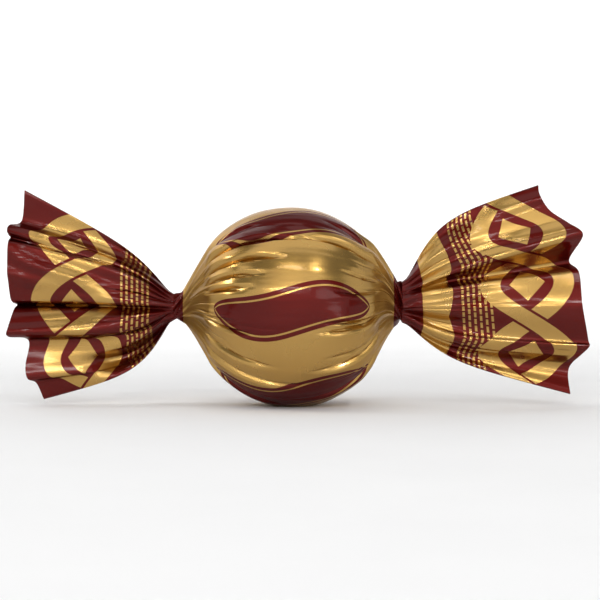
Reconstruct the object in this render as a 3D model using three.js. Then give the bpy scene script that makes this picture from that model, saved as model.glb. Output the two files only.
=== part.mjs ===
// A chocolate truffle shut in its twist wrapper: a round body of wrapped chocolate, a twisted neck
// of film at each end of it, and beyond each neck a fan-shaped tail of pleated film.
// One closed solid, in millimetres: +X runs along the wrapper to the right, -Y faces the viewer and
// +Z is up. The origin is the middle of the flat spot that the round body rests on.

import * as THREE from "three";

// Round body
const BALL_RADIUS = 18.15;
const REST_DEPTH = 0.45; // how deep the underside is pressed flat
const BALL_CENTRE_Z = BALL_RADIUS - REST_DEPTH;
const FILM_LEAVES_BALL = THREE.MathUtils.degToRad(60); // latitude, from the middle towards a neck
const SHOULDER_REACH = 17; // where the film turns in from the ball towards a neck

// Gathers: folds of film that run from a neck on to the round body
const GATHER_DEPTH = 0.7;
const GATHERS_FADE_OUT = THREE.MathUtils.degToRad(14); // latitude where the last of them ends
const GATHER_WAVES = [
  { count: 7, share: 0.45, phase: 1.1 },
  { count: 12, share: 0.35, phase: 4.0 },
  { count: 17, share: 0.2, phase: 2.2 },
];

// Twisted necks
const NECK_TWIST = 0.5 * Math.PI;
const NECK_LOBES = 5;
const LOBE_DEPTH = 0.14; // share of the neck's radius

// Tails
const SPREAD_RATE = 8; // how soon a tail's bulge ends
const NECK_RUN = 0.12; // share of a tail that still follows its neck
const ROOT_FLATTENING = 1.6; // how fast the round neck flattens into the fan
const LAYER_GAP = 1.5; // between a tail's front and back layers of film, at the cut edge
const LAYER_GAP_SWELL = 0.5;
const LAYER_GAP_WAVES = 3;
const LAYER_CORNER = 0.3; // how suddenly the layers close at the two corners, less being more sudden
const PLEATS = 6; // small ones, beside each neck
const PLEAT_DEPTH = 0.7;
const PLEATS_DEEPEST = 0.2; // share of the way from the neck to the cut edge

// Each end of the wrapper, with reaches and rises from the ball's centre. The folds are listed down the
// tail's cut edge from the top corner to the bottom one, as [reach beyond the neck, forward of it, rise
// above it, bulge, fade]. A ray of film joins each of them to the neck: its bulge is the share of the
// rise that comes early, beside the neck, and its fade is how soon the fold flattens towards the neck.
const LEFT_END = {
  side: -1,
  neckReach: 21.4,
  neckRise: 0.1,
  neckRadius: 2.2,
  shoulderRise: 0.8,
  shoulderStart: 1,
  folds: [
    [27.2, -2.0, 21.2, 0.235, 1.0],
    [27.7, -2.2, 15.7, 0.27, 1.3],
    [29.5, 1.2, 14.9, 0.28, 5.0],
    [29.8, 2.6, 13.9, 0.29, 5.0],
    [29.6, 1.4, 13.0, 0.29, 5.0],
    [29.4, 0.3, 12.6, 0.29, 5.0],
    [29.6, 1.1, 12.1, 0.30, 2.0],
    [29.7, 1.4, 11.0, 0.30, 1.5],
    [29.8, 2.0, 7.0, 0.32, 1.0],
    [29.5, 1.1, 2.2, 0.36, 1.0],
    [29.1, 0.5, 0.9, 0.40, 1.0],
    [28.5, -1.4, 0.35, 0.46, 1.0],
    [28.8, 0.9, -0.35, 0.56, 1.0],
    [29.6, 2.9, -3.6, 0.92, 1.0],
    [29.6, 2.6, -5.2, 1.0, 1.0],
    [26.5, -1.6, -6.1, 1.0, 1.0],
    [27.0, -0.9, -10.6, 0.85, 1.0],
    [26.6, -0.5, -13.0, 0.75, 1.0],
    [25.1, -1.6, -13.9, 0.68, 1.0],
    [23.8, -1.8, -16.9, 0.56, 1.0],
  ],
};
const RIGHT_END = {
  side: 1,
  neckReach: 19.9,
  neckRise: 1.0,
  neckRadius: 3.4,
  shoulderRise: 1.2,
  shoulderStart: 12,
  folds: [
    [24.8, -1.5, 21.2, 0.54, 1.0],
    [25.0, -0.9, 19.3, 0.50, 1.0],
    [26.7, 0.3, 16.6, 0.40, 1.0],
    [29.8, 1.6, 14.4, 0.28, 1.0],
    [32.3, 2.8, 12.2, 0.18, 1.0],
    [30.4, -1.7, 7.6, 0.20, 1.0],
    [32.0, 0.4, 5.4, 0.25, 1.0],
    [32.4, 2.2, -0.6, 0.40, 1.0],
    [33.6, 0.9, -6.7, 0.60, 1.0],
    [33.6, 1.5, -8.2, 0.70, 1.0],
    [30.5, -1.7, -12.0, 0.60, 1.0],
    [30.5, 0.6, -16.7, 0.40, 1.0],
  ],
};

// Fineness of the faceted surface
const POINTS_AROUND = 96;
const BALL_STEPS = 22;
const NECK_STEPS = 9;
const TAIL_STEPS = 10;

// The wrapper's colours are printed on one film, so the solid takes the darker ground colour.
const FILM_MATERIAL = new THREE.MeshStandardMaterial({
  name: "printed_film",
  color: new THREE.Color(0.3, 0.05, 0.04),
  roughness: 0.3,
  metalness: 0.6,
});

const { lerp, smoothstep } = THREE.MathUtils;

// A ring of film is worked out point by point, by the angle round the wrapper: 0 at the top, a
// quarter turn at the front, a half turn at the bottom.
function ring(pointAt) {
  return Array.from({ length: POINTS_AROUND }, (_, i) => pointAt((2 * Math.PI * i) / POINTS_AROUND));
}

function aroundAxis(x, radius, angle, rise) {
  return new THREE.Vector3(x, -radius * Math.sin(angle), rise + radius * Math.cos(angle));
}

// How far the gathers stand off the smooth film at an angle.
function gatherAt(angle) {
  const wave = ({ count, share, phase }) => share * Math.cos(count * angle + phase);
  return GATHER_DEPTH * GATHER_WAVES.map(wave).reduce((sum, height) => sum + height);
}

// How far the neck's twisted lobes stand out at an angle, as a share of its radius.
function lobeAt(angle) {
  return LOBE_DEPTH * Math.cos(NECK_LOBES * angle);
}

// The middle line of the wrapper: how high it runs above the ball's centre.
function middleRise(end, reach) {
  const shoulder = end.shoulderRise * smoothstep(reach, end.shoulderStart, SHOULDER_REACH);
  return shoulder + (end.neckRise - end.shoulderRise) * smoothstep(reach, SHOULDER_REACH, end.neckReach);
}

function ballRing(latitude) {
  const x = BALL_RADIUS * Math.sin(latitude);
  const rise = middleRise(latitude < 0 ? LEFT_END : RIGHT_END, Math.abs(x));
  const gathered = smoothstep(Math.abs(latitude), GATHERS_FADE_OUT, FILM_LEAVES_BALL);
  return ring((angle) => {
    const radius = BALL_RADIUS * Math.cos(latitude) + gathered * gatherAt(angle);
    return aroundAxis(x, radius, angle, rise);
  });
}

// From the ball (share 0) to the tail's root (share 1), on a curve that leaves the ball along its
// tangent and ends along the wrapper's axis. The folds twist round the axis on the way.
function neckRing(end, share) {
  const leaves = new THREE.Vector2(Math.sin(FILM_LEAVES_BALL), Math.cos(FILM_LEAVES_BALL));
  leaves.multiplyScalar(BALL_RADIUS);
  const straight = (leaves.y - end.neckRadius) / Math.tan(FILM_LEAVES_BALL);
  const corner = new THREE.Vector2(leaves.x + straight, end.neckRadius);
  const root = new THREE.Vector2(end.neckReach, end.neckRadius);
  const { x: reach, y: radius } = new THREE.CubicBezierCurve(leaves, corner, corner, root).getPoint(share);
  const turn = NECK_TWIST * share * share;
  return ring((angle) => {
    const folded = lerp(gatherAt(angle - turn), radius * lobeAt(angle - turn), share);
    return aroundAxis(end.side * reach, radius + folded, angle, middleRise(end, reach));
  });
}

// The cut edge of a tail as a curve through its folds, from the top corner to the bottom one. It runs
// halfway between the front layer of film and the back one.
function cutEdge(end) {
  const points = end.folds.map(([reach, forward, rise]) => {
    return new THREE.Vector3(end.side * (end.neckReach + reach), -forward, end.neckRise + rise);
  });
  return new THREE.CatmullRomCurve3(points, false, "catmullrom");
}

// The bulge (x) and the fade (y) of the rays that end along a tail's cut edge.
function edgeRays(end) {
  const points = end.folds.map(([, , , bulge, fade]) => new THREE.Vector3(bulge, fade, 0));
  return new THREE.CatmullRomCurve3(points, false, "catmullrom");
}

// How far a layer stands from the middle of a tail's cut edge. The layers meet at both corners.
function halfGapAt(down) {
  const swell = LAYER_GAP_SWELL * Math.cos(2 * Math.PI * LAYER_GAP_WAVES * down);
  return 0.5 * (LAYER_GAP + swell) * Math.sin(Math.PI * down) ** LAYER_CORNER;
}

// How far a tail has spread from its neck (0) to its cut edge (1): part of the spread is a bulge that
// comes soon after the neck, and the rest is straight.
function spreadShare(bulge, along) {
  const bulgeAt = (t) => 1 - Math.exp((-SPREAD_RATE * t * t) / (t + NECK_RUN));
  return lerp(along, bulgeAt(along) / bulgeAt(1), bulge);
}

function tailRing(end, cut, rays, along) {
  const nearness = along / PLEATS_DEEPEST;
  const pleatDepth = PLEAT_DEPTH * (1 - along) * nearness * Math.exp(1 - nearness);
  return ring((angle) => {
    const inFront = angle <= Math.PI;
    const down = inFront ? angle / Math.PI : 2 - angle / Math.PI; // 0 at the top edge, 1 at the bottom
    const place = cut.getUtoTmapping(down);
    const edge = cut.getPoint(place);
    const { x: bulge, y: fade } = rays.getPoint(place);
    const layer = (inFront ? -1 : 1) * halfGapAt(down) * along;
    const radius = end.neckRadius * (1 + lobeAt(angle - NECK_TWIST));
    const root = aroundAxis(end.side * end.neckReach, radius, angle, end.neckRise);
    const spread = spreadShare(bulge, along);
    const pleat = pleatDepth * Math.sin(2 * Math.PI * PLEATS * down);
    return new THREE.Vector3(
      lerp(root.x, edge.x, along),
      root.y * (1 - along) ** ROOT_FLATTENING + edge.y * along ** fade + layer + pleat,
      lerp(root.z, edge.z, spread),
    );
  });
}

// Even shares of a way, from the first step to the whole of it.
function steps(count) {
  return Array.from({ length: count }, (_, i) => (i + 1) / count);
}

// The rings of one end, outwards from the ball's last ring to the cut edge.
function endRings(end) {
  const cut = cutEdge(end);
  const rays = edgeRays(end);
  return [
    ...steps(NECK_STEPS).map((share) => neckRing(end, share)),
    ...steps(TAIL_STEPS).map((along) => tailRing(end, cut, rays, along)),
  ];
}

// Joins rings of film into one closed surface. The first and last rings are flattened, so each is
// closed by a strip between the points of its front layer and those of its back layer.
function filmGeometry(rings) {
  const count = POINTS_AROUND;
  const vertices = rings.flat().flatMap(({ x, y, z }) => [x, y, Math.max(0, z + BALL_CENTRE_Z)]);
  const triangles = [];
  const quad = (a, b, c, d) => triangles.push(a, b, c, a, c, d);
  for (let first = 0; first + count < rings.length * count; first += count) {
    for (let i = 0; i < count; i += 1) {
      const next = (i + 1) % count;
      quad(first + i, first + next, first + count + next, first + count + i);
    }
  }
  const last = (rings.length - 1) * count;
  const behind = (i) => (count - i) % count;
  for (let i = 0; i < count / 2; i += 1) {
    quad(i, behind(i), behind(i + 1), i + 1);
    quad(last + i, last + i + 1, last + behind(i + 1), last + behind(i));
  }
  const geometry = new THREE.BufferGeometry();
  geometry.setAttribute("position", new THREE.Float32BufferAttribute(vertices, 3));
  geometry.setIndex(triangles);
  geometry.computeVertexNormals();
  return geometry;
}

function wrappedTruffle() {
  const ball = [0, ...steps(BALL_STEPS)].map((share) => ballRing(FILM_LEAVES_BALL * (2 * share - 1)));
  const rings = [...endRings(LEFT_END).reverse(), ...ball, ...endRings(RIGHT_END)];
  const mesh = new THREE.Mesh(filmGeometry(rings), FILM_MATERIAL);
  mesh.name = "wrapped_truffle";
  return mesh;
}

const truffle = new THREE.Group();
truffle.name = "chocolate_truffle";
truffle.add(wrappedTruffle());

export default truffle;
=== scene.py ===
# %% [markdown]
# # A chocolate truffle in a twist wrapper
#
# The real thing is a ball of filled chocolate rolled into one sheet of metallised film, printed gold
# and maroon. The sheet is twisted shut at both ends, which makes two necks, and its ends fan out into
# pleated tails. All that can be seen is film, so this lesson makes one sheet of film and bends it.
#
# The CAD model is loaded first, as a fixed frame in metres. It holds the plain solid. The film made
# here stands for that solid, at the same place and size.

import math

import bmesh
import bpy
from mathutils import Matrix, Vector


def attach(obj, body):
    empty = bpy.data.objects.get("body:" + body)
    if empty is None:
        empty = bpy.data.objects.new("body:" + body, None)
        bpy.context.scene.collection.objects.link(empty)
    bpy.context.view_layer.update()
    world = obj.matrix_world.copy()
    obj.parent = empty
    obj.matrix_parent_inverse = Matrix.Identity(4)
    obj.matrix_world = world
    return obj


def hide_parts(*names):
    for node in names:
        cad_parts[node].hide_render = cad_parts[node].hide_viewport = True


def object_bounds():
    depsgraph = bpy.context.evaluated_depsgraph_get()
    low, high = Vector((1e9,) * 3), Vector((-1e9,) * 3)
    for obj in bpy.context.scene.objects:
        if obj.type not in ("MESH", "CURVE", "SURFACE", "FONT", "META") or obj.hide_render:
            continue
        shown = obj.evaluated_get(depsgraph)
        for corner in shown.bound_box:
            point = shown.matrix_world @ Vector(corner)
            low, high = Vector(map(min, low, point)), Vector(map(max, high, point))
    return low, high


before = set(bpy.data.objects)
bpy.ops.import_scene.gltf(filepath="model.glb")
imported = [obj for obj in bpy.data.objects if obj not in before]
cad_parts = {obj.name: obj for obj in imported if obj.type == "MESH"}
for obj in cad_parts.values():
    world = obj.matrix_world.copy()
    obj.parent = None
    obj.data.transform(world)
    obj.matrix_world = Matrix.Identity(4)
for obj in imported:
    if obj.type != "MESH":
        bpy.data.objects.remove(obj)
cad_low, cad_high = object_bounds()
print("CAD box in mm:", [round(1000 * side, 1) for side in cad_high - cad_low])

# %% [markdown]
# ## Sizes
#
# A wrapper is easiest to describe along its own axis. The ball's radius comes from the frame, and every
# other size is stated here once, in millimetres turned into Blender's metres. The two ends of a real
# wrapper are never alike, so each has a small table of its own. The names in those tables are also the
# names of the node tree's inputs further down.

# %% Sizes of the ball, the necks and the tails
MM = 0.001
FULL_TURN = 2 * math.pi

BALL_RADIUS = (cad_high.y - cad_low.y) / 2
# How much of the ball is cut off by the flat spot that it rests on
REST_DEPTH = 0.45 * MM
BALL_CENTRE = Vector((0, 0, BALL_RADIUS - REST_DEPTH))
# Where the film leaves the ball, as an angle from the ball's middle
FILM_LEAVES_BALL = math.radians(60)
# How far from the middle the shoulders reach
SHOULDER_REACH = 17 * MM

# How far a neck is twisted, and how much flat film a neck and a tail take
NECK_TWIST = math.radians(90)
NECK_FILM = 9 * MM
TAIL_FILM = 30 * MM

LEFT_END = {
    "Side": -1.0,
    "Neck Reach": 21.4 * MM,
    "Neck Rise": 0.1 * MM,
    "Neck Radius": 2.2 * MM,
    "Shoulder Rise": 0.8 * MM,
    "Shoulder Start": 1.0 * MM,
    "Crumple": 1.0,
    "Seed": 3.0,
}
RIGHT_END = {
    "Side": 1.0,
    "Neck Reach": 19.9 * MM,
    "Neck Rise": 1.0 * MM,
    "Neck Radius": 3.4 * MM,
    "Shoulder Rise": 1.2 * MM,
    "Shoulder Start": 12.0 * MM,
    "Crumple": 0.35,
    "Seed": 71.0,
}
print("ball is", round(2 * BALL_RADIUS / MM, 1), "mm across")

# %% [markdown]
# ## The cut edges
#
# The tail's cut edge is a wavy line: each roll and valley of the fan ends there. It is drawn as a curve
# from the top corner to the bottom one, with only the points that its folds need. Every point is
# measured from the neck, as reach beyond it, how far it stands forward, and rise above it. A ray of film
# joins the point to the neck. Its bulge is the share of the rise that comes early, beside the neck, and
# its fade says how soon the fold flattens on the way there.

# %% Folds of the cut edges
# Reach, forward and rise in millimetres, then bulge and fade
LEFT_FOLDS = [
    (27.2, -2.0, 21.2, 0.235, 1.0),
    (27.7, -2.2, 15.7, 0.27, 1.3),
    (29.5, 1.2, 14.9, 0.28, 5.0),
    (29.8, 2.6, 13.9, 0.29, 5.0),
    (29.6, 1.4, 13.0, 0.29, 5.0),
    (29.4, 0.3, 12.6, 0.29, 5.0),
    (29.6, 1.1, 12.1, 0.30, 2.0),
    (29.7, 1.4, 11.0, 0.30, 1.5),
    (29.8, 2.0, 7.0, 0.32, 1.0),
    (29.5, 1.1, 2.2, 0.36, 1.0),
    (29.1, 0.5, 0.9, 0.40, 1.0),
    (28.5, -1.4, 0.35, 0.46, 1.0),
    (28.8, 0.9, -0.35, 0.56, 1.0),
    (29.6, 2.9, -3.6, 0.92, 1.0),
    (29.6, 2.6, -5.2, 1.0, 1.0),
    (26.5, -1.6, -6.1, 1.0, 1.0),
    (27.0, -0.9, -10.6, 0.85, 1.0),
    (26.6, -0.5, -13.0, 0.75, 1.0),
    (25.1, -1.6, -13.9, 0.68, 1.0),
    (23.8, -1.8, -16.9, 0.56, 1.0),
]
RIGHT_FOLDS = [
    (24.8, -1.5, 21.2, 0.54, 1.0),
    (25.0, -0.9, 19.3, 0.50, 1.0),
    (26.7, 0.3, 16.6, 0.40, 1.0),
    (29.8, 1.6, 14.4, 0.28, 1.0),
    (32.3, 2.8, 12.2, 0.18, 1.0),
    (30.4, -1.7, 7.6, 0.20, 1.0),
    (32.0, 0.4, 5.4, 0.25, 1.0),
    (32.4, 2.2, -0.6, 0.40, 1.0),
    (33.6, 0.9, -6.7, 0.60, 1.0),
    (33.6, 1.5, -8.2, 0.70, 1.0),
    (30.5, -1.7, -12.0, 0.60, 1.0),
    (30.5, 0.6, -16.7, 0.40, 1.0),
]
print("cut edges have", len(LEFT_FOLDS), "and", len(RIGHT_FOLDS), "points")

# %% [markdown]
# The curves are only helpers. The node tree samples them, and they are deleted at the end. A point of a
# curve has a radius and a tilt besides its place, and nothing else here needs those two, so they carry the
# fade and the bulge.

# %% Curves for the cut edges
def cut_edge(name, end, folds):
    """A helper curve through the folds of one tail's cut edge."""
    curve = bpy.data.curves.new(name, "CURVE")
    curve.dimensions = "3D"
    spline = curve.splines.new("POLY")
    spline.points.add(len(folds) - 1)
    for point, (reach, forward, rise, bulge, fade) in zip(spline.points, folds):
        x = end["Side"] * (end["Neck Reach"] + reach * MM)
        z = end["Neck Rise"] + rise * MM
        point.co = (x, -forward * MM, z, 1)
        point.tilt = bulge
        point.radius = fade
    helper = bpy.data.objects.new(name, curve)
    bpy.context.scene.collection.objects.link(helper)
    return helper


left_edge = cut_edge("left_cut_edge", LEFT_END, LEFT_FOLDS)
right_edge = cut_edge("right_cut_edge", RIGHT_END, RIGHT_FOLDS)
print("helper curves:", left_edge.name, "and", right_edge.name)

# %% [markdown]
# ## Writing nodes as sums
#
# A node tree for a rule like this one has hundreds of small nodes. Placed and linked one by one, they
# can't be read. Two helpers shorten that: one sets an input or links it, whichever is needed, and the
# other places a node with all its options and inputs at once.

# %% Helpers that place nodes
def feed(tree, socket, value):
    """Links a field or an output to an input socket, or sets a plain value on it."""
    if isinstance(value, Field):
        value = value.socket
    if isinstance(value, bpy.types.NodeSocket):
        tree.links.new(value, socket)
    else:
        socket.default_value = value


def add_node(tree, kind, inputs, **settings):
    """Places a node with its options set and its inputs fed by name, and returns its outputs."""
    node = tree.nodes.new(kind)
    for name, value in settings.items():
        setattr(node, name, value)
    for name, value in inputs.items():
        feed(tree, node.inputs[name], value)
    return node.outputs


# %% [markdown]
# Most of those nodes are Math nodes. So a Field stands for a number that changes over the surface, and
# adding or multiplying two fields places the Math node and its links. A rule then reads like a sum. The
# same class works in Geometry Nodes and in materials.

# %% Fields
def maths(operation, *values):
    """A Math node on fields and plain numbers."""
    tree = next(value.tree for value in values if isinstance(value, Field))
    node = tree.nodes.new("ShaderNodeMath")
    node.operation = operation
    for socket, value in zip(node.inputs, values):
        feed(tree, socket, value)
    return Field(tree, node.outputs[0])


class Field:
    """A number that changes over the surface, held by an output socket of a node tree."""

    def __init__(self, tree, socket):
        self.tree = tree
        self.socket = socket

    def __add__(self, other):
        return maths("ADD", self, other)

    def __radd__(self, other):
        return maths("ADD", other, self)

    def __sub__(self, other):
        return maths("SUBTRACT", self, other)

    def __rsub__(self, other):
        return maths("SUBTRACT", other, self)

    def __mul__(self, other):
        return maths("MULTIPLY", self, other)

    def __rmul__(self, other):
        return maths("MULTIPLY", other, self)

    def __truediv__(self, other):
        return maths("DIVIDE", self, other)

    def __pow__(self, other):
        return maths("POWER", self, other)

    def __mod__(self, other):
        return maths("FLOORED_MODULO", self, other)

    def __abs__(self):
        return maths("ABSOLUTE", self)


# %% [markdown]
# A few more helpers give the usual shapes of a rule: waves, ramps, mixes and repeatable chance. Chance
# comes from a White Noise node fed with a whole number, so each fold keeps its own draw on every run.

# %% Waves, ramps, mixes and chance
def sine(angle):
    return maths("SINE", angle)


def cosine(angle):
    return maths("COSINE", angle)


def smaller(first, second):
    return maths("MINIMUM", first, second)


def larger(first, second):
    return maths("MAXIMUM", first, second)


def between(start, end, share):
    """From start, where share is 0, to end, where it is 1."""
    return start + (end - start) * share


def smooth_step(value, start, end):
    """0 at start, 1 at end, and a smooth ramp between them."""
    inputs = {"Value": value, "From Min": start, "From Max": end}
    outputs = add_node(value.tree, "ShaderNodeMapRange", inputs, interpolation_type="SMOOTHSTEP")
    return Field(value.tree, outputs["Result"])


def chance(number, draw):
    """A random share from 0 to 1, the same for the same whole number and draw."""
    outputs = add_node(number.tree, "ShaderNodeTexWhiteNoise", {"W": number + draw}, noise_dimensions="1D")
    return Field(number.tree, outputs["Value"])


def vector(x, y, z):
    """A vector field made of three fields or numbers, at least one of them a field."""
    tree = next(part.tree for part in (x, y, z) if isinstance(part, Field))
    return Field(tree, add_node(tree, "ShaderNodeCombineXYZ", {"X": x, "Y": y, "Z": z})["Vector"])


def split(tree, socket):
    """The three numbers of a vector socket, as fields."""
    outputs = add_node(tree, "ShaderNodeSeparateXYZ", {"Vector": socket})
    return [Field(tree, output) for output in outputs]


def noise(place, detail, scale=1):
    """Soft noise around 0, at a vector field."""
    inputs = {"Vector": place, "Scale": scale, "Detail": detail}
    return Field(place.tree, add_node(place.tree, "ShaderNodeTexNoise", inputs)["Fac"]) - 0.5


# %% [markdown]
# ## Sheets of film
#
# The ball, a neck and a tail are all the same thing: a grid whose rows are rings of film, moved to
# where the rule puts them. Each is a node group with its sizes as named inputs. Before the grid is bent,
# its flat place on the sheet is stored as the UV map, in millimetres, so the print can later be laid out
# as a printer does: along the film from the middle of the ball, and round it from the top.

# %% Grids, groups and the sheet's own coordinates
POINTS_AROUND = 512
BALL_RINGS = 72
NECK_RINGS = 16
TAIL_RINGS = 36
LINING_RINGS = 7

# The sheet goes once round the ball, and this much of it lies between the ball's middle and a neck
SHEET_WIDTH = FULL_TURN * BALL_RADIUS
BALL_FILM = FILM_LEAVES_BALL * BALL_RADIUS
print("sheet is", round(2 * (BALL_FILM + NECK_FILM + TAIL_FILM) / MM), "mm long and",
      round(SHEET_WIDTH / MM), "mm wide")


def film_group(name, sizes, objects=(), materials=()):
    """A node group that gives one sheet of film. Returns it and its named inputs as fields."""
    tree = bpy.data.node_groups.new(name, "GeometryNodeTree")
    tree.interface.new_socket("Film", in_out="OUTPUT", socket_type="NodeSocketGeometry")
    for label, value in sizes.items():
        socket = tree.interface.new_socket(label, in_out="INPUT", socket_type="NodeSocketFloat")
        socket.default_value = value
    for label in objects:
        tree.interface.new_socket(label, in_out="INPUT", socket_type="NodeSocketObject")
    for label in materials:
        tree.interface.new_socket(label, in_out="INPUT", socket_type="NodeSocketMaterial")
    outputs = tree.nodes.new("NodeGroupInput").outputs
    return tree, {label: Field(tree, outputs[label]) for label in [*sizes, *objects, *materials]}


def film_grid(tree, rings):
    """A flat grid, with how far along the sheet and how far round it each point is, from 0 to 1."""
    sizes = {"Size X": 1, "Size Y": 1, "Vertices X": rings + 1, "Vertices Y": POINTS_AROUND + 1}
    outputs = add_node(tree, "GeometryNodeMeshGrid", sizes)
    along, around, _ = split(tree, outputs["UV Map"])
    return outputs["Mesh"], along, around


def bend(tree, mesh, sheet_place, position):
    """Stores each point's flat place on the sheet, then moves it to where the folded film has it."""
    stored = add_node(
        tree,
        "GeometryNodeStoreNamedAttribute",
        {"Geometry": mesh, "Name": "UVMap", "Value": sheet_place},
        data_type="FLOAT2",
        domain="CORNER",
    )
    inputs = {"Geometry": stored["Geometry"], "Position": position}
    return add_node(tree, "GeometryNodeSetPosition", inputs)["Geometry"]


def hand_over(tree, film):
    """Ends a group with its film."""
    output = tree.nodes.new("NodeGroupOutput")
    feed(tree, output.inputs["Film"], film)


# %% [markdown]
# Two rules hold for all these sheets. A ring lies round the wrapper's axis, and nothing goes below the
# floor, which gives the flat spot under the ball. The axis itself isn't straight: it rises a little over
# the shoulders and goes on to the height of the neck. And the grids of the right end run the other way
# round, so their faces are turned to point outwards again.

# %% Rings round the axis and faces outwards
def round_axis(x, radius, angle, rise):
    """A point at an angle round the wrapper's axis: 0 is the top and a quarter turn the front."""
    height = larger(rise + radius * cosine(angle) + BALL_CENTRE.z, 0)
    return vector(x, radius * sine(angle) * -1, height)


def middle_rise(reach, size):
    """How high the wrapper's middle line runs above the ball's centre."""
    shoulder = size["Shoulder Rise"] * smooth_step(reach, size["Shoulder Start"], SHOULDER_REACH)
    down_to_neck = smooth_step(reach, SHOULDER_REACH, size["Neck Reach"])
    return shoulder + (size["Neck Rise"] - size["Shoulder Rise"]) * down_to_neck


def face_outwards(tree, film, size):
    """Turns the faces of a right end round."""
    on_right = maths("GREATER_THAN", size["Side"], 0)
    return add_node(tree, "GeometryNodeFlipFaces", {"Mesh": film, "Selection": on_right})["Mesh"]


# %% [markdown]
# ## Gathers and creases
#
# Where a round sheet is pulled into a narrow neck there is too much film, and it stands up in folds that
# run from the neck on to the ball. A few broad ones swell gently. They are waves round the wrapper, and
# three of different lengths together look as if they came by chance.

# %% Broad gathers
GATHER_DEPTH = 0.7 * MM
# At which latitude of the ball the gathers have faded out
GATHERS_FADE_OUT = math.radians(14)
# How many waves there are round the wrapper, then their share of the depth and their phase
GATHER_WAVES = [(7, 0.45, 1.1), (12, 0.35, 4.0), (17, 0.2, 2.2)]


def gather_waves(angle):
    """The broad gathers, as a height on the smooth film."""
    heights = [cosine(angle * count + phase) * share for count, share, phase in GATHER_WAVES]
    return sum(heights) * GATHER_DEPTH


print("gathers are sums of", len(GATHER_WAVES), "waves")

# %% [markdown]
# Many sharp folds die out after a few millimetres. A sharp fold is a tuck: a narrow groove between a
# narrow lip and a wide one, so it shows as a dark line with a bright band beside it. Each tuck has its
# own place, side, height and length by chance, and layers of them, from few and long to many and short,
# give the look of crumpled film.

# %% Tucks
# How many tucks there are round the wrapper, then how high, how long and how wide the wider lip is
CREASE_LAYERS = [
    (9, 0.40 * MM, 22 * MM, 2.4 * MM),
    (17, 0.28 * MM, 15 * MM, 1.4 * MM),
    (31, 0.16 * MM, 9 * MM, 0.8 * MM),
]
# Widths of the groove and the narrow lip as shares of the wide one, and how far lips rise for their groove
GROOVE_SHARE = 0.2
NARROW_LIP = 0.5
LIP_RISE = 0.7
# Where a tuck may lie in its stretch of film, and the least share of a layer's length and height it has
TUCK_PLACES = (0.4, 0.6)
SHORTEST_CREASE = 0.3
LOWEST_CREASE = 0.25
# Steps between the chance draws, so that no two of them are alike
LAYER_DRAW = 131.0
HEIGHT_DRAW = 0.37
LENGTH_DRAW = 0.71
SIDE_DRAW = 0.53


def ramps(offset, before, after):
    """A ramp up and a ramp down: 1 in the middle, and 0 beyond the widths before and after it."""
    return larger(smaller(offset / before + 1, 1 - offset / after), 0)


def tuck(offset, groove, lip):
    """The height across a tuck: a narrow groove, 1 deep, between a narrow lip and a wide one."""
    lips = ramps(offset, lip * NARROW_LIP, lip) * LIP_RISE
    return lips - ramps(offset, groove, groove) * (1 + LIP_RISE)


def creases(around, round_length, from_neck, layers, seed):
    """All layers of tucks, as a height on the smooth film. They end at chance distances."""
    total = 0
    for order, (count, depth, length, widest_lip) in enumerate(layers):
        draw = seed + LAYER_DRAW * order
        phase = around * count
        number = maths("FLOOR", phase) % count
        middle = between(*TUCK_PLACES, chance(number, draw))
        side = maths("SIGN", chance(number, draw + SIDE_DRAW) - 0.5)
        pitch = round_length / count
        offset = (maths("FRACT", phase) - middle) * pitch * side
        lip = smaller(pitch * TUCK_PLACES[0], widest_lip)
        across = tuck(offset, lip * GROOVE_SHARE, lip)
        height = between(LOWEST_CREASE, 1, chance(number, draw + HEIGHT_DRAW))
        reach = between(SHORTEST_CREASE, 1, chance(number, draw + LENGTH_DRAW)) * length
        total = total + across * height * smooth_step(from_neck, reach, 0) * depth
    return total


print("each end of the ball has", sum(layer[0] for layer in CREASE_LAYERS), "tucks")

# %% [markdown]
# Besides these, the front shows some long folds that catch the eye, so their places are stated one by
# one: how far down the ball each lies, as a share from its top edge to its bottom edge, how far it
# reaches from the neck, how high it stands, and whether its steep side looks down (1) or up (-1). The
# film rises slowly to the crest of such a fold, drops steeply and leaves a narrow groove at the foot. The
# steep side mirrors a light and the groove goes dark. The back of the ball gets the same folds.

# %% Main folds on the ball
# Share down the ball, reach, height, and which way the steep side looks
LEFT_MAIN_FOLDS = [
    (0.15, 14 * MM, 0.50 * MM, 1),
    (0.24, 22 * MM, 1.00 * MM, 1),
    (0.31, 19 * MM, 0.95 * MM, 1),
    (0.365, 15 * MM, 0.70 * MM, 1),
    (0.41, 13 * MM, 0.60 * MM, 1),
    (0.45, 12 * MM, 0.40 * MM, -1),
    (0.53, 10 * MM, 0.40 * MM, 1),
    (0.60, 14 * MM, 0.55 * MM, -1),
    (0.70, 18 * MM, 0.50 * MM, -1),
    (0.77, 24 * MM, 0.55 * MM, -1),
    (0.83, 25 * MM, 0.55 * MM, 1),
    (0.90, 19 * MM, 0.45 * MM, -1),
]
RIGHT_MAIN_FOLDS = [
    (0.12, 14 * MM, 0.50 * MM, 1),
    (0.235, 19 * MM, 0.80 * MM, 1),
    (0.34, 11 * MM, 0.50 * MM, 1),
    (0.45, 12 * MM, 0.50 * MM, -1),
    (0.525, 15 * MM, 0.50 * MM, 1),
    (0.585, 16 * MM, 0.60 * MM, -1),
    (0.65, 14 * MM, 0.50 * MM, 1),
    (0.72, 17 * MM, 0.60 * MM, -1),
    (0.86, 19 * MM, 0.55 * MM, -1),
]
# Widths of a fold's two sides and half its groove, and the groove's depth as a share of the fold's height
SLOW_SIDE = 3.0 * MM
STEEP_SIDE = 0.8 * MM
FOOT_GROOVE = 0.4 * MM
FOOT_DEPTH = 0.9
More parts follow.
